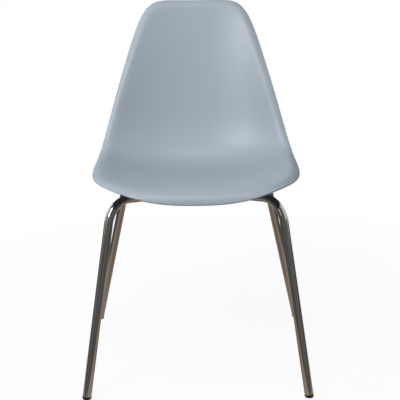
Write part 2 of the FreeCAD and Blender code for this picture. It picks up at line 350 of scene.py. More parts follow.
def mirrored_copy(name, source, side, end):
    """A front right piece copied to another corner, mirrored, with its faces outwards."""
    mesh = source.data.copy()
    about_crossing = Matrix.Translation((0, CROSSING.y, 0))
    mesh.transform(about_crossing @ Matrix.Diagonal((side, end, 1, 1)) @ about_crossing.inverted())
    if side * end < 0:
        mesh.flip_normals()
    return add_object(name, mesh)


def weld_bead(chair, name, corners, bead_radius, seed, metal):
    """A weld bead through corners."""
    bead = run_tree(path_object(name + "_route", corners), weld_tree(), {
        "Bead Radius": bead_radius,
        "Pitch": chair.mounts.bead_pitch,
        "Seed": seed,
        "Material": metal,
    }, name)
    bead.data.shade_smooth()
    return bead


def turn_angles(turns):
    return [2 * math.pi * i / turns for i in range(turns)]


def lathe(profile, turns):
    """Closed mesh round Z from a profile of radius and height that starts and ends on the axis.

    A radius may be a list, with one for each turn."""
    points = [(0, 0, profile[0][1])]
    for radius, height in profile[1:-1]:
        radii = radius if isinstance(radius, list) else [radius] * turns
        for r, angle in zip(radii, turn_angles(turns)):
            points.append((r * math.cos(angle), r * math.sin(angle), height))
    points.append((0, 0, profile[-1][1]))
    return points, round_faces(len(profile) - 2, turns)


def round_faces(rings, turns):
    """Faces of a closed round body: a fan, rings of quads and a fan, from low to high."""
    last = rings * turns + 1
    faces = []
    for i in range(turns):
        j = (i + 1) % turns
        faces.append((0, 1 + j, 1 + i))
        for k in range(rings - 1):
            low, high = 1 + k * turns, 1 + (k + 1) * turns
            faces.append((low + i, low + j, high + j, high + i))
        top = 1 + (rings - 1) * turns
        faces.append((last, top + i, top + j))
    return faces


def arc_points(centre, radius, start, end, count):
    """Points of an arc, between two angles in degrees."""
    points = []
    for i in range(count + 1):
        angle = math.radians(start + (end - start) * i / count)
        points.append((centre[0] + radius * math.cos(angle), centre[1] + radius * math.sin(angle)))
    return points


def add_spline(curve, points, closed):
    """Add straight runs through points to a curve."""
    spline = curve.splines.new("POLY")
    spline.points.add(len(points) - 1)
    for point, place in zip(spline.points, points):
        point.co = (*Vector(place).to_3d(), 1)
    spline.use_cyclic_u = closed


def path_object(name, corners):
    """A curve object of straight runs through corners."""
    curve = bpy.data.curves.new(name, "CURVE")
    curve.dimensions = "3D"
    add_spline(curve, corners, closed=False)
    return add_object(name, curve)


def flat_plate(name, outlines, thickness, edge):
    """Plate with eased edges from closed outlines, the first outside and the rest holes."""
    curve = bpy.data.curves.new(name, "CURVE")
    curve.dimensions = "2D"
    curve.fill_mode = "BOTH"
    curve.extrude = thickness / 2 - edge
    curve.bevel_depth = edge
    curve.bevel_resolution = 2
    curve.offset = -edge
    for points in outlines:
        add_spline(curve, points, closed=True)
    return settle(add_object(name, curve), name)


# The leg frame's geometry

def crossing_corner(legs):
    """Corner of the front tube near the middle, from the crossing, where its bend just clears."""
    nearest = legs.tube_radius + CROSSING_GAP / 2
    corner_y = 0.0
    rounds = 20
    for _ in range(rounds):
        half_turn = math.atan2(corner_y - SHOULDER.y, SHOULDER.x)
        corner_y = legs.bend_radius * (1 / math.cos(half_turn) - 1) - nearest
    return Vector((0, corner_y, CROSSING.z))


def shoulder(end, legs):
    """Corner between run and leg, on the same line for both tubes."""
    corner = crossing_corner(legs)
    return corner + (SHOULDER - corner) * RUN_SHARE[end]


def leg_direction(end, legs):
    return (shoulder(end, legs) - FOOT[end]).normalized()


def run_direction(legs):
    return (SHOULDER - crossing_corner(legs)).normalized()


def mount_place(legs):
    """Axis of the front right mount on the floor plane, from the crossing."""
    run = run_direction(legs)
    aside = Vector((-run.y, run.x, 0)).normalized()
    hole = crossing_corner(legs) + run * MOUNT_ALONG_RUN + aside * MOUNT_OFF_RUN
    return Vector((hole.x, hole.y, 0))


def mount_heading(legs):
    run = run_direction(legs)
    return math.atan2(run.y, run.x)


def mount_places(legs):
    """The four mounts in the chair's frame."""
    place = mount_place(legs)
    return [Vector((place.x * side, CROSSING.y + place.y * end, 0)) for side, end in CORNERS.values()]


# The shell's upper face

def stations_at(t):
    """Depth, height, half width and side rise at each t, from 0 at the lip to 1 at the top."""
    spans = len(STATIONS) - 3
    knots = np.concatenate([np.zeros(3), np.linspace(0, 1, spans + 1), np.ones(3)])
    first = np.clip((t * spans).astype(int), 0, spans - 1)
    rows = [STATIONS[first + i] for i in range(4)]
    for level in range(1, 4):
        for i in range(3, level - 1, -1):
            low = knots[first + i]
            share = (t - low) / (knots[first + 4 + i - level] - low)
            rows[i] = rows[i - 1] + share[..., None] * (rows[i] - rows[i - 1])
    return rows[3]


def outline(turn):
    """Share of the half width and of the half length at each turn from the front."""
    across, along = np.sin(turn), np.cos(turn)
    power = np.where(along > 0, FRONT_CORNER_POWER, TOP_CORNER_POWER)
    size = (np.abs(across) ** power + np.abs(along) ** power) ** (1 / power)
    return across / size, along / size


def edge_gauge(x, t):
    """0 at the middle of the shell and 1 on its outline."""
    power = np.where(t < 0.5, FRONT_CORNER_POWER, TOP_CORNER_POWER)
    across = np.abs(x) / stations_at(t)[..., 2]
    return (across ** power + np.abs(2 * t - 1) ** power) ** (1 / power)


def gauge_per_metre(turn):
    """How fast the gauge grows towards the outline at each turn."""
    across, along = outline(turn)
    t = 0.5 - 0.5 * along
    x = across * stations_at(t)[..., 2]
    span = stations_at(t + STEP) - stations_at(t - STEP)
    length = np.hypot(span[..., 0], span[..., 1])
    over_t = (edge_gauge(x, t + STEP) - edge_gauge(x, t - STEP)) / length
    over_x = (edge_gauge(x + STEP, t) - edge_gauge(x - STEP, t)) / (2 * STEP)
    return np.hypot(over_t, over_x)


def inset_at(across, t):
    """Distance in from the outline, near enough, at a share of the half width and t."""
    along = 1 - 2 * t
    power = np.where(along > 0, FRONT_CORNER_POWER, TOP_CORNER_POWER)
    gauge = (np.abs(across) ** power + np.abs(along) ** power) ** (1 / power)
    return (1 - gauge) / gauge_per_metre(np.arctan2(across, along))


def upper_face(across, t, settings):
    """Points of the seat's upper face, with its rolled border."""
    station = stations_at(t)
    span = stations_at(t + STEP) - stations_at(t - STEP)
    speed = np.hypot(span[..., 0], span[..., 1])
    soft = settings.roll_softness
    reach = soft * np.logaddexp(0, (settings.roll_width - inset_at(across, t)) / soft)
    opening = 1 + settings.front_opening * np.clip(1 - t / FRONT_OPENING_SPAN, 0, 1) ** 2
    roll = reach ** 2 / (2 * settings.roll_radius * opening)
    lift = (station[..., 3] * np.abs(across) ** SIDE_RISE_POWER - roll) / speed
    x = across * station[..., 2]
    y = CROSSING.y + station[..., 0] - lift * span[..., 1]
    z = station[..., 1] + lift * span[..., 0]
    return np.stack([x, y, z], axis=-1)


def unit(vectors):
    return vectors / np.linalg.norm(vectors, axis=-1, keepdims=True)


def upper_normal(across, t, settings):
    over_across = upper_face(across + STEP, t, settings) - upper_face(across - STEP, t, settings)
    over_t = upper_face(across, t + STEP, settings) - upper_face(across, t - STEP, settings)
    return unit(np.cross(over_across, over_t))


def shell_places(settings):
    """Rings of places from the middle of the shell out to its outline."""
    turn = 2 * np.pi * np.arange(settings.shell_turns) / settings.shell_turns
    across, along = outline(turn)
    fall = gauge_per_metre(turn)
    inner = np.linspace(0, 1, settings.inner_rings + 1)[1:-1]
    border = np.linspace(settings.border_width, 0, settings.border_rings)
    border_start = 1 - settings.border_width * fall
    gauges = [share * border_start for share in inner]
    gauges += [1 - inset * fall for inset in border]
    gauges = np.array(gauges)
    return across * gauges, 0.5 - 0.5 * along * gauges


def shell_mesh(settings):
    """Points and faces of the wall: lower side, rounded edge and upper side."""
    across, t = shell_places(settings)
    upper = upper_face(across, t, settings)
    normal = upper_normal(across, t, settings)
    lower = upper - normal * settings.wall
    edge, edge_normal = upper[-1], normal[-1]
    along_edge = unit(np.roll(edge, -1, axis=0) - np.roll(edge, 1, axis=0))
    outward = unit(np.cross(along_edge, edge_normal))
    middle = edge - edge_normal * settings.wall / 2
    rims = []
    for i in range(1, settings.rim_rings):
        angle = math.pi * i / settings.rim_rings
        reach = outward * math.sin(angle) - edge_normal * math.cos(angle)
        rims.append(middle + reach * settings.wall / 2)
    rings = list(lower) + rims + list(upper[::-1])
    centre = np.zeros(1), np.full(1, 0.5)
    top = upper_face(*centre, settings)
    bottom = top - upper_normal(*centre, settings) * settings.wall
    points = np.concatenate([bottom] + rings + [top])
    return points, round_faces(len(rings), settings.shell_turns)


# The shell's bosses and ribs

def underside_height(wall_tree, place):
    """Height of the seat's underside over a place on the floor plane."""
    return wall_tree.ray_cast(place, UP)[0].z


def underside_slope(wall_tree, place, reach):
    """Rise of the seat's underside for each metre towards +X and +Y round a place."""
    rises = []
    for step in (Vector((reach, 0, 0)), Vector((0, reach, 0))):
        rise = underside_height(wall_tree, place + step) - underside_height(wall_tree, place - step)
        rises.append(rise / (2 * reach))
    return Vector((*rises, 0))


def boss_mesh(settings, foot_height, root_height, slope):
    """One boss under the seat at the origin: a tapered post with a flared root and an open foot."""
    draft, flare, flare_steps, just_under = 0.06, 0.0025, 6, 0.00002
    pocket, pocket_depth, pocket_ease, foot_ease = 0.0044, 0.0128, 0.0004, 0.0006
    foot = settings.boss_radius
    root = foot + draft * (root_height - foot_height)
    pocket_top = foot_height + pocket_depth
    root_top = root_height + settings.wall * ROOT_IN_WALL
    profile = [(0, pocket_top), (pocket, pocket_top), (pocket, foot_height + pocket_ease)]
    profile += [(pocket + pocket_ease, foot_height), (foot - foot_ease, foot_height)]
    profile += [(foot, foot_height + foot_ease)]
    for i in range(flare_steps + 1):
        angle = math.pi / 2 * i / flare_steps
        height = root_height - flare * (1 - math.sin(angle))
        profile.append((root + flare * (1 - math.cos(angle)), height))
    profile += [(root + flare, root_top), (0, root_top)]
    points, faces = lathe(profile, turns=48)
    flare_start = root_height - flare - just_under
    leaned = [Vector(point) for point in points]
    for point in leaned:
        if point.z > flare_start:
            point.z += slope.dot(point * Vector((1, 1, 0)))
    return leaned, faces


def rib_mesh(settings, foot_height, root_height, slope, angle):
    """One upright rib from the boss outwards, its root along the seat's underside."""
    lift, inner_end, into_boss, least_end = 0.005, 0.006, 0.001, 0.0005
    reach, half = settings.rib_reach, settings.rib_thickness / 2
    start = settings.boss_radius - into_boss
    low = foot_height + lift
    into_wall = settings.wall * ROOT_IN_WALL
    end_height = root_height + slope.dot(Vector((math.cos(angle), math.sin(angle), 0))) * reach
    rise = min(low + reach - settings.boss_radius, end_height - least_end)
    section = [
        (inner_end, low), (start, low), (start + rise - low, rise), (reach, rise),
        (reach, end_height + into_wall), (inner_end, root_height + into_wall),
    ]
    turn = Matrix.Rotation(angle, 4, "Z")
    points = []
    for side in (-1, 1):
        points += [turn @ Vector((x, side * half, z)) for x, z in section]
    count = len(section)
    faces = [tuple(range(count)), tuple(range(2 * count - 1, count - 1, -1))]
    for i in range(count):
        j = (i + 1) % count
        faces.append((j, i, count + i, count + j))
    return points, faces


# Geometry node trees

def new_tree(name, sockets):
    """A tree with named inputs, its helper, and the input and output nodes."""
    tree = bpy.data.node_groups.new(name, "GeometryNodeTree")
    for socket_name, kind in {"Geometry": "Geometry", **sockets, "Material": "Material"}.items():
        tree.interface.new_socket(socket_name, in_out="INPUT", socket_type="NodeSocket" + kind)
    tree.interface.new_socket("Geometry", in_out="OUTPUT", socket_type="NodeSocketGeometry")
    graph = Graph(tree)
    return tree, graph, graph.node("NodeGroupInput").outputs, graph.node("NodeGroupOutput")


def run_tree(piece, tree, values, name):
    """Run a tree on an object with its inputs set, and keep the result as a plain mesh."""
    modifier = piece.modifiers.new(tree.name, "NODES")
    modifier.node_group = tree
    for item in tree.interface.items_tree:
        if item.in_out == "INPUT" and item.name in values:
            modifier[item.identifier] = values[item.name]
    return settle(piece, name)


def end_tree(graph, output, geometry, material):
    """Realize what is instanced, and set the material."""
    solid = graph.value("GeometryNodeRealizeInstances", None, {"Geometry": geometry})
    inputs = {"Geometry": solid, "Material": material}
    graph.feed(output.inputs["Geometry"], graph.value("GeometryNodeSetMaterial", None, inputs))


def tube_tree():
    """Round tube along a path of straight runs, with tangent bends at its corners."""
    tree, graph, given, output = new_tree("Bent Tube", {
        "Tube Radius": "Float",
        "Bend Radius": "Float",
        "Bend Steps": "Int",
        "Round Steps": "Int",
    })
    path = graph.fillet(given["Geometry"], given["Bend Radius"], given["Bend Steps"])
    section = graph.value("GeometryNodeCurvePrimitiveCircle", None, {
        "Resolution": given["Round Steps"],
        "Radius": given["Tube Radius"],
    })
    end_tree(graph, output, graph.sweep(path, section), given["Material"])
    return tree


def ring_tree():
    """Ring of rounded rectangular section at every point of a mesh, closed or split."""
    tree, graph, given, output = new_tree("Rings", {
        "Inner Radius": "Float",
        "Outer Radius": "Float",
        "Thickness": "Float",
        "Edge Radius": "Float",
        "Height": "Float",
        "Sweep": "Float",
        "Seed": "Int",
    })
    round_steps, edge_steps, join_within = 65, 3, 1e-5
    inner = Wire(graph, given["Inner Radius"])
    outer = Wire(graph, given["Outer Radius"])
    path = graph.value("GeometryNodeCurveArc", {"mode": "RADIUS"}, {
        "Resolution": round_steps,
        "Radius": (inner + outer) * 0.5,
        "Start Angle": 0.0,
        "Sweep Angle": given["Sweep"],
    })
    section = graph.value("GeometryNodeCurvePrimitiveQuadrilateral", {"mode": "RECTANGLE"}, {
        "Width": outer - inner,
        "Height": given["Thickness"],
    })
    ring = graph.sweep(path, graph.fillet(section, given["Edge Radius"], edge_steps))
    ring = graph.value("GeometryNodeMergeByDistance", None, {"Geometry": ring, "Distance": join_within})
    middle = Wire(graph, given["Thickness"]) * 0.5 + Wire(graph, given["Height"])
    ring = graph.value("GeometryNodeTransform", None, {
        "Geometry": ring,
        "Translation": graph.vector(Z=middle),
    })
    turned = graph.chance(0.0, 2 * math.pi, given["Seed"])
    rings = graph.spread(given["Geometry"], ring, Rotation=graph.vector(Z=turned))
    end_tree(graph, output, rings, given["Material"])
    return tree


def copies_tree():
    """One piece copied to every point of a mesh, each turned by chance about Z."""
    tree, graph, given, output = new_tree("Copies At Points", {"Piece": "Object", "Seed": "Int"})
    piece = graph.node("GeometryNodeObjectInfo", None, {"Object": given["Piece"]})
    turned = graph.chance(0.0, 2 * math.pi, given["Seed"])
    copies = graph.spread(given["Geometry"], piece.outputs["Geometry"], Rotation=graph.vector(Z=turned))
    end_tree(graph, output, copies, given["Material"])
    return tree


def weld_tree():
    """Weld bead: overlapping flat drops along a path."""
    tree, graph, given, output = new_tree("Weld Bead", {
        "Bead Radius": "Float",
        "Pitch": "Float",
        "Seed": "Int",
    })
    least, most, flatness = 0.88, 1.08, 0.6
    drops = graph.node("GeometryNodeCurveToPoints", {"mode": "LENGTH"}, {
        "Curve": given["Geometry"],
        "Length": given["Pitch"],
    })
    drop = graph.value("GeometryNodeMeshIcoSphere", None, {
        "Radius": given["Bead Radius"],
        "Subdivisions": 3,
    })
    size = graph.chance(least, most, given["Seed"])
    scale = graph.vector(X=size, Y=size, Z=size * flatness)
    beads = graph.spread(drops.outputs["Points"], drop, Rotation=drops.outputs["Rotation"], Scale=scale)
    end_tree(graph, output, beads, given["Material"])
    return tree


# Finishes

def shell_plastic(shell):
    """Satin moulded plastic with a fine grain and faint cloudiness."""
    material, graph, place = new_material("shell_plastic")
    cloud = graph.noise(place, scale=7.0, detail=3.0)
    speck = graph.noise(place, scale=260.0, detail=3.0, roughness=0.6)
    grain = graph.noise(place, scale=1400.0, detail=2.0, roughness=0.6)
    scuff = graph.ramp(graph.noise(place, scale=38.0, detail=6.0, roughness=0.7), 0.52, 0.72)
    colour = graph.blend(cloud, shade(shell.colour, 0.965), shade(shell.colour, 1.035))
    colour = graph.blend(speck * 0.10, colour, shade(shell.colour, 0.86))
    return finish_material(material, graph, {
        "Base Color": colour,
        "Roughness": 0.36 + cloud * 0.05 + scuff * 0.05,
        "IOR": 1.49,
    }, grain, bump_depth=0.00003)


def plated_tube(legs):
    """Bright plating that mirrors the room, with faint haze, drawing marks and painted reflection: warm and
    cool patches in its colour for the surroundings it mirrors.
    """
    material, graph, place = new_material("chrome_tube")
    haze = graph.noise(place, scale=16.0, detail=4.0, roughness=0.6)
    painted_reflection_tint = graph.noise(place, scale=5.0, detail=2.0)
    marks = graph.noise(place, scale=420.0, detail=3.0, roughness=0.7)
    red, green, blue = legs.metal
    cool = shade((red * 0.93, green, blue * 1.06))
    warm = shade((red * 1.06, green, blue * 0.9))
    return finish_material(material, graph, {
        # Painted reflection: the colour drifts between cool and warm to stand in for the surroundings that
        # the tube mirrors.
        "Base Color": graph.blend(painted_reflection_tint, cool, warm),
        "Metallic": 1.0,
        "Roughness": 0.06 + haze * 0.06 + marks * 0.02,
    }, marks, bump_depth=0.0000015)


def cap_plastic(legs):
    """Black plastic, smooth above and scuffed grey at the sole."""
    material, graph, place = new_material("cap_plastic")
    sole_height, dust = 0.003, (0.11, 0.105, 0.1, 1.0)
    height = graph.node("ShaderNodeSeparateXYZ", None, {0: place}).outputs["Z"]
    sole = graph.value("ShaderNodeMapRange", None, {
        "Value": height, "From Min": 0.0, "From Max": sole_height, "To Min": 1.0, "To Max": 0.0,
    })
    scuff = graph.ramp(graph.noise(place, scale=500.0, detail=4.0, roughness=0.7), 0.45, 0.62) * sole
    grain = graph.noise(place, scale=1500.0, detail=2.0)
    return finish_material(material, graph, {
        "Base Color": graph.blend(scuff * 0.7, shade(legs.cap_colour), dust),
        "Roughness": 0.34 + scuff * 0.35,
        "IOR": 1.5,
    }, grain, bump_depth=0.00004)


def pad_rubber():
    """Matt black rubber with a dusty bloom."""
    material, graph, place = new_material("pad_rubber")
    bloom = graph.noise(place, scale=220.0, detail=4.0, roughness=0.65)
    return finish_material(material, graph, {
        "Base Color": graph.blend(bloom, (0.018, 0.018, 0.018, 1.0), (0.045, 0.044, 0.042, 1.0)),
        "Roughness": 0.72 + bloom * 0.16,
    }, bloom, bump_depth=0.00006)


def insert_brass():
    """Turned brass, slightly dulled."""
    material, graph, place = new_material("insert_brass")
    dull = graph.noise(place, scale=300.0, detail=4.0, roughness=0.6)
    return finish_material(material, graph, {
        "Base Color": graph.blend(dull, (0.62, 0.44, 0.17, 1.0), (0.45, 0.32, 0.14, 1.0)),
        "Metallic": 1.0,
        "Roughness": 0.24 + dull * 0.2,
    })


def plated_steel():
    """Zinc plating with its cloudy spangle."""
    material, graph, place = new_material("plated_steel")
    spangle = graph.noise(place, scale=700.0, detail=3.0, roughness=0.6)
    return finish_material(material, graph, {
        "Base Color": graph.blend(spangle, (0.44, 0.45, 0.46, 1.0), (0.62, 0.61, 0.57, 1.0)),
        "Metallic": 1.0,
        "Roughness": 0.26 + spangle * 0.16,
    }, spangle, bump_depth=0.00001)


def weld_metal(legs):
    """Plated weld, duller than the tube."""
    material, graph, place = new_material("weld_metal")
    skin = graph.noise(place, scale=900.0, detail=4.0, roughness=0.65)
    return finish_material(material, graph, {
        "Base Color": graph.blend(skin, shade(legs.metal, 0.8), shade(legs.metal, 1.3)),
        "Metallic": 1.0,
        "Roughness": 0.28 + skin * 0.2,
    }, skin, bump_depth=0.00008)


# What a user may change

def size_setting(name, description, default):
    return FloatProperty(name=name, description=description, default=default, unit="LENGTH")


def number_setting(name, description, default):
    return FloatProperty(name=name, description=description, default=default)


def count_setting(name, description, default):
    return IntProperty(name=name, description=description, default=default)


def angle_setting(name, description, degrees):
    return FloatProperty(
        name=name, description=description, default=math.radians(degrees), subtype="ANGLE")


def power_setting(name, description, default):
    return FloatProperty(name=name, description=description, default=default, unit="POWER")


def colour_setting(name, description, default):
    return FloatVectorProperty(
        name=name, description=description, default=default, subtype="COLOR", min=0, max=1)


class ShellSettings(bpy.types.PropertyGroup):
    wall: size_setting("Wall", "Thickness of the moulding", 0.005)
    roll_width: size_setting("Roll Width", "Width of the border that rolls down", 0.022)
    roll_radius: size_setting("Roll Radius", "Radius of the rolled border", 0.020)
    roll_softness: size_setting("Roll Softness", "Run-in of the roll from the seat", 0.005)
    front_opening: number_setting("Front Opening", "How much wider the border rolls at the lip", 1.2)
    border_width: size_setting("Border Width", "Width of the finely divided border", 0.055)
    shell_turns: count_setting("Turns", "Points round the shell", 288)
    border_rings: count_setting("Border Rings", "Rings in the border", 34)
    inner_rings: count_setting("Inner Rings", "Rings inside the border", 72)
    rim_rings: count_setting("Rim Rings", "Rings over the rounded edge", 8)
    boss_radius: size_setting("Boss Radius", "Radius of a boss at its foot", 0.011)
    rib_reach: size_setting("Rib Reach", "Distance a rib reaches from its boss", 0.027)
    rib_thickness: size_setting("Rib Thickness", "Thickness of a rib", 0.003)
    colour: colour_setting("Colour", "Colour of the plastic", (0.36, 0.420, 0.475))


class LegSettings(bpy.types.PropertyGroup):
    tube_radius: size_setting("Tube Radius", "Outside radius of the tube", 0.0095)
    bend_radius: size_setting("Bend Radius", "Radius of the tube's bends", 0.057)
    bend_steps: count_setting("Bend Steps", "Divisions of a bend", 40)
    round_steps: count_setting("Round Steps", "Divisions round the tube", 64)
    cap_radius: size_setting("Cap Radius", "Radius of a foot cap's flange", 0.0102)
    cap_flange: size_setting("Cap Flange", "Height of a foot cap's flange", 0.0024)
    metal: colour_setting("Metal", "Colour of the plating", (0.5, 0.5, 0.495))
    cap_colour: colour_setting("Caps", "Colour of the foot caps", (0.003, 0.003, 0.003))


class MountSettings(bpy.types.PropertyGroup):
    tab_thickness: size_setting("Tab Thickness", "Thickness of a welded tab", 0.003)
    tab_width: size_setting("Tab Width", "Width of a welded tab", 0.030)
    hole_radius: size_setting("Hole Radius", "Radius of the hole in tab and pad", 0.0035)
    pad_radius: size_setting("Pad Radius", "Radius of a rubber pad", 0.013)
    pad_thickness: size_setting("Pad Thickness", "Thickness of a rubber pad", 0.003)
    insert_radius: size_setting("Insert Radius", "Outside radius of an insert", 0.0045)
    insert_length: size_setting("Insert Length", "Length of an insert", 0.013)
    washer_hole: size_setting("Washer Hole", "Radius of the hole in a washer", 0.0032)
    flat_washer: size_setting("Flat Washer", "Outside radius of a flat washer", 0.0070)
    lock_washer: size_setting("Lock Washer", "Outside radius of a split lock washer", 0.0053)
    lock_sweep: angle_setting("Lock Sweep", "How far round a lock washer goes", 348)
    screw_radius: size_setting("Screw Radius", "Radius of a screw's shank", 0.003)
    head_radius: size_setting("Head Radius", "Radius of a screw's head", 0.00525)
    head_height: size_setting("Head Height", "Height of a screw's head", 0.0033)
    bead_pitch: size_setting("Bead Pitch", "Distance between the drops of a weld", 0.0012)
    seed: count_setting("Seed", "Chance turns of screws and washers", 4)


class StageSettings(bpy.types.PropertyGroup):
    floor_size: size_setting("Floor Size", "Side of the floor", 8.0)
    lens: FloatProperty(name="Lens", description="Focal length", default=84.46, unit="CAMERA")
    camera_height: size_setting("Camera Height", "Height of the camera", 0.9048)
    camera_distance: size_setting("Camera Distance", "Distance in front of the tubes' crossing", 2.0847)
    camera_side: size_setting("Camera Side", "Distance to the right of the middle", 0.0082)
    tilt: angle_setting("Tilt", "How far the camera looks down", 14.19)
    roll: angle_setting("Roll", "Turn of the picture", 0.55)
    key: power_setting("Key Light", "Power of the main lamp", 48.0)
    side: power_setting("Side Light", "Power of the side lamp", 40.0)
    top: power_setting("Top Light", "Power of the top lamp", 17.5)
    low: power_setting("Low Light", "Power of the low lamp in front", 20.0)
    room: number_setting("Room Light", "Strength of the room's light", 0.34)
    room_lean: number_setting("Room Lean", "How much more of the room's light is from the left", 0.6)
    surround_radius: size_setting("Surround Radius", "Radius of the dim room in reflections", 7.0)
    surround: colour_setting("Surround", "Colour of the room in reflections", (0.138, 0.128, 0.125))
    wall_parts: number_setting("Wall Parts", "How often the room's walls change in reflections", 2.2)
    near_radius: size_setting("Near Radius", "Where the near floor starts to dim", 0.38)
    far_radius: size_setting("Far Radius", "Where the far floor starts", 0.75)
    # Painted shadow: the darker warm floor under the seat stands for the seat's shadow as the metal mirrors
    # it.
    shaded_centre_floor: colour_setting(
        "Centre Floor", "Colour of the floor under the seat in reflections", (0.28, 0.18, 0.135))
    near_floor: colour_setting(
        "Near Floor", "Colour of the floor round the feet in reflections", (0.42, 0.35, 0.29))
    far_floor: colour_setting(
        "Far Floor", "Colour of the floor further out in reflections", (0.12, 0.11, 0.10))


class ChairSettings(bpy.types.PropertyGroup):
    shell: PointerProperty(type=ShellSettings, name="Shell", description="Seat shell and its bosses")
    legs: PointerProperty(type=LegSettings, name="Legs", description="Leg tubes and foot caps")
    mounts: PointerProperty(type=MountSettings, name="Mounts", description="Tabs, pads and fasteners")
    stage: PointerProperty(type=StageSettings, name="Stage", description="Floor, light and camera")


# One operator for each piece or group of like pieces

class ChairOperator:
    """Shared by the operators of the chair."""

    bl_options = {"REGISTER", "UNDO"}

    def execute(self, context):
        self.build(context.scene.chair)
        return {"FINISHED"}


class CHAIR_OT_shell(ChairOperator, bpy.types.Operator):
    """Mould the seat shell, with its bosses and ribs underneath"""

    bl_idname = "chair.shell"
    bl_label = "Seat Shell"

    def build(self, chair):
        points, faces = shell_mesh(chair.shell)
        plastic = shell_plastic(chair.shell)
        shell = mesh_object("seat_shell_moulding", points, faces)
        fit(shell, plastic, ["seat_shell"])
        wall_tree = BVHTree.FromPolygons([Vector(point) for point in points], faces)
        whole = bmesh.new()
        for (side, end), place in zip(CORNERS.values(), mount_places(chair.legs)):
            self.add_boss(chair, whole, wall_tree, place, side, end)
        bmesh.ops.recalc_face_normals(whole, faces=whole.faces)
        bosses = mesh_object("shell_bosses", [], [])
        whole.to_mesh(bosses.data)
        whole.free()
        keep_sharp(bosses.data, degrees=40)
        fit(bosses, plastic)

    def add_boss(self, chair, whole, wall_tree, place, side, end):
        """Add the boss at a corner and its three ribs, made as if at the front right."""
        shell = chair.shell
        foot_height = TAB_TOP + chair.mounts.pad_thickness
        root_height = underside_height(wall_tree, place)
        slope = underside_slope(wall_tree, place, shell.boss_radius) * Vector((side, end, 0))
        parts = [boss_mesh(shell, foot_height, root_height, slope)]
        for turn in (0, math.pi / 2, math.pi):
            heading = mount_heading(chair.legs) + turn
            parts.append(rib_mesh(shell, foot_height, root_height, slope, heading))
        for points, faces in parts:
            mesh = new_mesh("boss", points, faces)
            mesh.transform(Matrix.Translation(place) @ Matrix.Diagonal((side, end, 1, 1)))
            if side * end < 0:
                mesh.flip_normals()
            whole.from_mesh(mesh)
            bpy.data.meshes.remove(mesh)


class CHAIR_OT_leg_tubes(ChairOperator, bpy.types.Operator):
    """Bend the front and the rear tube"""

    bl_idname = "chair.leg_tubes"
    bl_label = "Leg Tubes"

    def build(self, chair):
        legs = chair.legs
        plating = plated_tube(legs)
        tree = tube_tree()
        for end, sense in (("front", 1), ("rear", -1)):
            name = end + "_leg_tube"
            half = [FOOT[end] + leg_direction(end, legs) * TUBE_END, shoulder(end, legs)]
            corners = half + [crossing_corner(legs)]
            corners += [Vector((-p.x, p.y, p.z)) for p in reversed(half)]
            route = [Vector((p.x, CROSSING.y + p.y * sense, p.z)) for p in corners]
            tube = run_tree(path_object(name, route), tree, {
                "Tube Radius": legs.tube_radius,
                "Bend Radius": legs.bend_radius,
                "Bend Steps": legs.bend_steps,
                "Round Steps": legs.round_steps,
                "Material": plating,
            }, name + "_bent")
            keep_sharp(tube.data, degrees=40)
            fit(tube, plating, [name])


class CHAIR_OT_crossing_plate(ChairOperator, bpy.types.Operator):
    """Cut the plate that is welded under the crossing, and lay its welds"""

    bl_idname = "chair.crossing_plate"
    bl_label = "Crossing Plate"

    def build(self, chair):
        low, high = (Vector(corner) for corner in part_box("crossing_plate"))
        size = high - low
        across, deep = size.x / 2 - PLATE_CORNER, size.y / 2 - PLATE_CORNER
        edge = []
        for i, (x, y) in enumerate([(across, deep), (-across, deep), (-across, -deep), (across, -deep)]):
            edge += arc_points((x, y), PLATE_CORNER, 90 * i, 90 * i + 90, count=8)
        plate = flat_plate("crossing_plate_cut", [edge], size.z, edge=0.0004)
        plate.data.transform(Matrix.Translation((low + high) / 2))
        keep_sharp(plate.data, degrees=35)
        fit(plate, plain_finish("chrome_tube"), ["crossing_plate"])
        self.lay_welds(chair, low, high)

    def lay_welds(self, chair, low, high):
        """A bead round each corner of the plate, where a tube leaves it."""
        bead_radius, start, end, parts = 0.0019, -50, 5, 10
        middle = (high.x - PLATE_CORNER, low.y + PLATE_CORNER)
        arc = arc_points(middle, PLATE_CORNER + WELD_OFFSET, start, end, parts)
        route = [(x, y, high.z - WELD_OFFSET) for x, y in arc]
        metal = weld_metal(chair.legs)
        bead = weld_bead(chair, "plate_weld", route, bead_radius, chair.mounts.seed + 1, metal)
        for corner, (side, end) in CORNERS.items():
            fit(mirrored_copy(f"plate_weld_{corner}", bead, side, end), metal)
        bpy.data.objects.remove(bead)


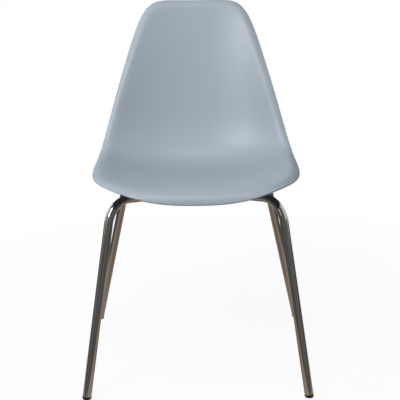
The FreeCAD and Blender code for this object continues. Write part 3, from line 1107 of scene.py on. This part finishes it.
class CHAIR_OT_mount_tabs(ChairOperator, bpy.types.Operator):
    """Cut the four tabs, and lay the weld between each and its tube"""

    bl_idname = "chair.mount_tabs"
    bl_label = "Mount Tabs"

    def build(self, chair):
        mounts, legs = chair.mounts, chair.legs
        bead_radius, bead_margin = 0.0021, 0.003
        half, short_of_axis = mounts.tab_width / 2, legs.tube_radius * 0.6
        root = short_of_axis - MOUNT_OFF_RUN
        edge = [(-half, root), (half, root)] + arc_points((0, 0), half, 0, 180, count=28)
        hole = arc_points((0, 0), mounts.hole_radius, 0, 360, count=32)[:-1]
        tab = flat_plate("mount_tab", [edge, hole], mounts.tab_thickness, edge=0.0003)
        place = mount_place(legs) + Vector((0, CROSSING.y, TAB_TOP - mounts.tab_thickness / 2))
        turn = Matrix.Rotation(mount_heading(legs), 4, "Z")
        tab.data.transform(Matrix.Translation(place) @ turn)
        keep_sharp(tab.data, degrees=35)
        bead_x = half - bead_margin
        bead_y = legs.tube_radius - MOUNT_OFF_RUN + WELD_OFFSET
        ends = [Vector((x, bead_y, -mounts.tab_thickness / 2)) for x in (-bead_x, bead_x)]
        route = [place + turn.to_3x3() @ end for end in ends]
        metal = weld_metal(legs)
        bead = weld_bead(chair, "tab_weld", route, bead_radius, mounts.seed, metal)
        plating = plain_finish("chrome_tube")
        for corner, (side, end) in CORNERS.items():
            cut = mirrored_copy(f"cut_mount_tab_{corner}", tab, side, end)
            fit(cut, plating, [f"mount_tab_{corner}"])
            fit(mirrored_copy(f"tab_weld_{corner}", bead, side, end), metal)
        bpy.data.objects.remove(tab)
        bpy.data.objects.remove(bead)


class CHAIR_OT_mount_rings(ChairOperator, bpy.types.Operator):
    """Place the rubber pads, inserts, flat washers and split lock washers"""

    bl_idname = "chair.mount_rings"
    bl_label = "Pads, Inserts and Washers"

    def build(self, chair):
        mounts = chair.mounts
        flat_low, flat_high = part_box("flat_washers")
        lock_low, lock_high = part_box("lock_washers")
        tree, steel, thread_gap = ring_tree(), plated_steel(), 0.0001
        self.lay_rings(chair, tree, "moulded_rubber_pads", pad_rubber(), {
            "Inner Radius": mounts.hole_radius,
            "Outer Radius": mounts.pad_radius,
            "Thickness": mounts.pad_thickness,
            "Edge Radius": 0.0004,
            "Height": TAB_TOP,
        }, "pad_rubber", corner_nodes("rubber_pad"))
        self.lay_rings(chair, tree, "turned_inserts", insert_brass(), {
            "Inner Radius": mounts.screw_radius + thread_gap,
            "Outer Radius": mounts.insert_radius,
            "Thickness": mounts.insert_length,
            "Edge Radius": 0.0002,
            "Height": TAB_TOP + mounts.pad_thickness,
        }, "insert_brass", corner_nodes("threaded_insert"))
        self.lay_rings(chair, tree, "stamped_flat_washers", steel, {
            "Inner Radius": mounts.washer_hole,
            "Outer Radius": mounts.flat_washer,
            "Thickness": flat_high[2] - flat_low[2],
            "Edge Radius": 0.00025,
            "Height": flat_low[2],
        }, "plated_steel", ["flat_washers"])
        self.lay_rings(chair, tree, "split_lock_washers", steel, {
            "Inner Radius": mounts.washer_hole,
            "Outer Radius": mounts.lock_washer,
            "Thickness": lock_high[2] - lock_low[2],
            "Edge Radius": 0.0002,
            "Height": lock_low[2],
            "Sweep": mounts.lock_sweep,
        }, "plated_steel", ["lock_washers"])

    def lay_rings(self, chair, tree, name, material, sizes, slot_name, nodes):
        """Rings at the four mounts, closed unless the sizes give a sweep."""
        places = mesh_object(name + "_places", mount_places(chair.legs), [], smooth=False)
        values = {"Sweep": 2 * math.pi, "Seed": chair.mounts.seed, "Material": material, **sizes}
        rings = run_tree(places, tree, values, name)
        keep_sharp(rings.data, degrees=40)
        fit(rings, material, nodes)


class CHAIR_OT_screws(ChairOperator, bpy.types.Operator):
    """Turn the four socket screws"""

    bl_idname = "chair.screws"
    bl_label = "Seat Screws"

    def build(self, chair):
        low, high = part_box("seat_screws")
        screw = self.screw(chair.mounts, low[2], high[2])
        places = mesh_object("screw_places", mount_places(chair.legs), [], smooth=False)
        steel = plain_finish("plated_steel")
        screws = run_tree(places, copies_tree(), {
            "Piece": screw,
            "Seed": chair.mounts.seed + 1,
            "Material": steel,
        }, "turned_seat_screws")
        bpy.data.objects.remove(screw)
        keep_sharp(screws.data, degrees=32)
        fit(screws, steel, ["seat_screws"])

    def screw(self, mounts, bottom, top):
        """One screw at the origin, with a domed head and a hexagon socket in it."""
        turns, dome_steps, dome_share = 48, 8, 0.75
        socket_radius, socket_depth, drill_point, crown = 0.0023, 0.002, 0.0001, 0.0034
        ease, tip = 0.0002, 0.0006
        head, shank, neck = mounts.head_radius, mounts.screw_radius, bottom + mounts.head_height
        flat = socket_radius * math.cos(math.pi / 6)
        socket = [flat / math.cos(angle % (math.pi / 3) - math.pi / 6) for angle in turn_angles(turns)]
        socket_mouth = [radius + ease for radius in socket]
        profile = [(0, bottom + socket_depth + drill_point), (socket, bottom + socket_depth)]
        profile += [(socket, bottom + ease), (socket_mouth, bottom), (crown, bottom)]
        for i in range(1, dome_steps + 1):
            angle = math.pi / 2 * i / dome_steps
            height = bottom + mounts.head_height * dome_share * (1 - math.cos(angle))
            profile.append((crown + (head - crown) * math.sin(angle), height))
        profile += [(head, neck - ease), (head - ease, neck), (shank, neck)]
        profile += [(shank, top - tip), (shank - tip, top), (0, top)]
        return mesh_object("screw", *lathe(profile, turns))


class CHAIR_OT_foot_caps(ChairOperator, bpy.types.Operator):
    """Mould the four foot caps and cut their soles flat on the floor"""

    bl_idname = "chair.foot_caps"
    bl_label = "Foot Caps"

    def build(self, chair):
        plastic = cap_plastic(chair.legs)
        caps = {end: self.cap(chair.legs, end) for end in ("front", "rear")}
        for corner, (side, sense) in CORNERS.items():
            cap = caps["front" if sense > 0 else "rear"]
            piece = mirrored_copy(f"moulded_foot_cap_{corner}", cap, side, sense)
            fit(piece, plastic, [f"foot_cap_{corner}"])
        for cap in caps.values():
            bpy.data.objects.remove(cap)

    def cap(self, legs, end):
        """A right cap of the front or the rear, leaning with its leg, as if at the front."""
        flange, ease, inset, lower_ease = legs.cap_radius, 0.0007, 0.0001, 0.0003
        stem, stem_straight, stem_top, stem_taper = 0.0076, 0.0185, 0.0200, 0.0012
        flange_low = TUBE_END - legs.cap_flange
        profile = [(radius, flange_low + height) for radius, height in CAP_SOLE]
        profile.append((flange - inset, flange_low + lower_ease))
        profile += arc_points((flange - ease, TUBE_END - ease), ease, 0, 90, count=5)
        profile += [(stem, TUBE_END), (stem, TUBE_END + stem_straight)]
        profile += [(stem - stem_taper, TUBE_END + stem_top), (0, TUBE_END + stem_top)]
        cap = mesh_object("foot_cap", *lathe(profile, turns=72))
        lean = UP.rotation_difference(leg_direction(end, legs)).to_matrix().to_4x4()
        cap.data.transform(Matrix.Translation(FOOT[end] + Vector((0, CROSSING.y, 0))) @ lean)
        shape = bmesh.new()
        shape.from_mesh(cap.data)
        cut = bmesh.ops.bisect_plane(
            shape, geom=shape.verts[:] + shape.edges[:] + shape.faces[:],
            plane_co=(0, 0, 0), plane_no=UP, clear_inner=True)
        rim = [part for part in cut["geom_cut"] if isinstance(part, bmesh.types.BMEdge)]
        bmesh.ops.contextual_create(shape, geom=rim)
        bmesh.ops.recalc_face_normals(shape, faces=shape.faces)
        shape.to_mesh(cap.data)
        shape.free()
        keep_sharp(cap.data, degrees=34)
        return cap


class CHAIR_OT_stage(ChairOperator, bpy.types.Operator):
    """Set up the pale floor, the soft light and the camera"""

    bl_idname = "chair.stage"
    bl_label = "Stage"

    def build(self, chair):
        stage = chair.stage
        floor = self.square("studio_floor", stage.floor_size / 2, 0)
        floor.data.materials.append(self.floor_paint(stage.floor_size / 2))
        self.light_room(stage)
        for name, place, size, mirrored in LAMPS:
            self.add_lamp(name + "_lamp", getattr(stage, name), place, size, mirrored)
        self.add_reflected_room(stage)
        self.add_camera(stage)
        bpy.context.scene.view_settings.view_transform = "Standard"

    def square(self, name, half, height):
        corners = [(x * half, y * half, height) for x, y in ((-1, -1), (1, -1), (1, 1), (-1, 1))]
        return mesh_object(name, corners, [(0, 1, 2, 3)], smooth=False)

    def seen_directly(self, graph):
        """1 for rays from the camera and for mirrored and passing rays."""
        path = graph.node("ShaderNodeLightPath")
        seen = Wire(graph, path.outputs["Is Camera Ray"])
        for name in ("Is Glossy Ray", "Is Transmission Ray"):
            seen = seen.at_least(path.outputs[name])
        return seen

    def floor_paint(self, half):
        """Pale paint that keeps the shadow near the chair and turns white further out."""
        material, graph, place = new_material("floor_paint")
        near, far, near_share = 0.4, half * 0.4, 0.92
        pale, bounced = (0.85, 0.85, 0.85, 1.0), (0.07, 0.06, 0.05, 1.0)
        seen = self.seen_directly(graph)
        colour = graph.blend(seen, bounced, pale)
        paint = graph.value("ShaderNodeBsdfDiffuse", None, {"Color": colour})
        white_share = graph.rise(graph.distance(place), near, far, near_share, 1.0)
        graph.finish(graph.mix_shaders(white_share * seen, paint, graph.glow(WHITE)))
        return material

    def add_reflected_room(self, stage):
        """Dim room and warm dim floor that only reflections see, with the seat's shadow painted into the
        floor under the chair.
        """
        radius, above_floor = stage.surround_radius, 0.001
        dome = bmesh.new()
        bmesh.ops.create_uvsphere(dome, u_segments=48, v_segments=24, radius=radius)
        bmesh.ops.delete(dome, geom=[corner for corner in dome.verts if corner.co.z < 0], context="VERTS")
        room = mesh_object("dim_room", [], [])
        dome.to_mesh(room.data)
        dome.free()
        ground = self.square("dim_floor", radius, above_floor)
        pieces = [(room, self.room_glow(stage)), (ground, self.floor_glow(stage))]
        for panel in PANELS:
            pieces.append(self.panel(radius, *panel))
        for piece, paint in pieces:
            piece.data.materials.append(paint)
            piece.visible_camera = False
            piece.visible_diffuse = False
            piece.visible_shadow = False
            piece.visible_transmission = False

    def panel(self, room_radius, name, azimuth, width, low, high, level):
        """Pale upright panel before the room's wall, given in degrees round the chair."""
        parts, before_wall = 12, 0.95
        radius = room_radius * before_wall
        points = []
        for i in range(parts + 1):
            turn = math.radians(azimuth + width * (i / parts - 0.5))
            for elevation in (math.radians(low), math.radians(high)):
                flat = radius * math.cos(elevation)
                points.append((flat * math.sin(turn), -flat * math.cos(turn), radius * math.sin(elevation)))
        faces = [(2 * i, 2 * i + 2, 2 * i + 3, 2 * i + 1) for i in range(parts)]
        material, graph, _ = new_material(name)
        graph.finish(graph.glow(WHITE, level))
        return mesh_object(name, points, faces, smooth=False), material

    def room_glow(self, stage):
        """Steady light of the room's walls, with darker and paler upright parts."""
        material, graph, place = new_material("dim_room")
        upright, dark, pale = (1, 1, 0.15), 0.62, 1.9
        drawn_out = graph.value("ShaderNodeVectorMath", {"operation": "MULTIPLY"}, {0: place, 1: upright})
        scale = stage.wall_parts / stage.surround_radius
        parts = graph.ramp(graph.noise(drawn_out, scale, detail=1.0, roughness=0.4), 0.38, 0.62)
        colour = graph.blend(parts, shade(stage.surround, dark), shade(stage.surround, pale))
        graph.finish(graph.glow(colour))
        return material

    def floor_glow(self, stage):
        """Steady light of the floor: warm, darker under the chair as a painted shadow of the seat, paler
        round it and dim further out.
        """
        material, graph, place = new_material("dim_floor")
        centre_radius = 0.1
        away = graph.distance(place)
        near = graph.rise(away, centre_radius, stage.near_radius)
        far = graph.rise(away, stage.near_radius, stage.far_radius)
        # Painted shadow of the seat: darker under the chair, paler further out.
        colour = graph.blend(near, shade(stage.shaded_centre_floor), shade(stage.near_floor))
        colour = graph.blend(far, colour, shade(stage.far_floor))
        graph.finish(graph.glow(colour))
        return material

    def light_room(self, stage):
        """Light of the room all round, stronger from the left, on a white backdrop."""
        world = bpy.data.worlds.new("studio")
        world.use_nodes = True
        world.node_tree.nodes.clear()
        graph = Graph(world.node_tree)
        left, right, white = (
            graph.value("ShaderNodeBackground", None, {"Color": WHITE, "Strength": strength})
            for strength in (stage.room * (1 + stage.room_lean), stage.room * (1 - stage.room_lean), 1.0)
        )
        heading = graph.value("ShaderNodeTexCoord", output="Generated")
        rightwards = graph.value("ShaderNodeSeparateXYZ", None, {"Vector": heading}, output="X") * 0.5 + 0.5
        room = graph.mix_shaders(rightwards, left, right)
        graph.finish(graph.mix_shaders(self.seen_directly(graph), room, white), "World")
        bpy.context.scene.world = world

    def add_lamp(self, name, power, place, size, mirrored):
        """Lamp aimed at the seat, seen in the metal or not."""
        lamp = bpy.data.lights.new(name, "AREA")
        lamp.shape = "RECTANGLE"
        lamp.size, lamp.size_y = size
        lamp.energy = power
        holder = add_object(name, lamp)
        holder.location = place
        holder.rotation_euler = (LAMP_AIM - Vector(place)).to_track_quat("-Z", "Y").to_euler()
        holder.visible_glossy = mirrored

    def add_camera(self, stage):
        camera = bpy.data.cameras.new("camera")
        camera.lens = stage.lens
        camera.sensor_width = 36.0
        holder = add_object("camera", camera)
        holder.location = (stage.camera_side, CROSSING.y - stage.camera_distance, stage.camera_height)
        look = Matrix.Rotation(math.pi / 2 - stage.tilt, 4, "X")
        holder.rotation_euler = (look @ Matrix.Rotation(-stage.roll, 4, "Z")).to_euler()
        bpy.context.scene.camera = holder


class CHAIR_PT_panel(bpy.types.Panel):
    """The chair's sizes and the buttons that build it"""

    bl_label = "Shell Chair"
    bl_idname = "CHAIR_PT_panel"
    bl_space_type = "VIEW_3D"
    bl_region_type = "UI"
    bl_category = "Chair"

    def draw(self, context):
        chair = context.scene.chair
        for group in (chair.shell, chair.legs, chair.mounts, chair.stage):
            box = self.layout.box()
            for name in group.__annotations__:
                box.prop(group, name)
        for operator in OPERATORS:
            self.layout.operator(operator.bl_idname)


OPERATORS = (
    CHAIR_OT_shell,
    CHAIR_OT_leg_tubes,
    CHAIR_OT_crossing_plate,
    CHAIR_OT_mount_tabs,
    CHAIR_OT_mount_rings,
    CHAIR_OT_screws,
    CHAIR_OT_foot_caps,
    CHAIR_OT_stage,
)
SETTINGS = (ShellSettings, LegSettings, MountSettings, StageSettings, ChairSettings)
CLASSES = SETTINGS + OPERATORS + (CHAIR_PT_panel,)


def register():
    for one in CLASSES:
        bpy.utils.register_class(one)
    bpy.types.Scene.chair = PointerProperty(
        type=ChairSettings, name="Chair", description="Sizes and colours of the chair and its stage")


def unregister():
    del bpy.types.Scene.chair
    for one in reversed(CLASSES):
        bpy.utils.unregister_class(one)


def main():
    register()
    bpy.ops.chair.shell()
    bpy.ops.chair.leg_tubes()
    bpy.ops.chair.crossing_plate()
    bpy.ops.chair.mount_tabs()
    bpy.ops.chair.mount_rings()
    bpy.ops.chair.screws()
    bpy.ops.chair.foot_caps()
    bpy.ops.chair.stage()


if __name__ == "__main__":
    main()
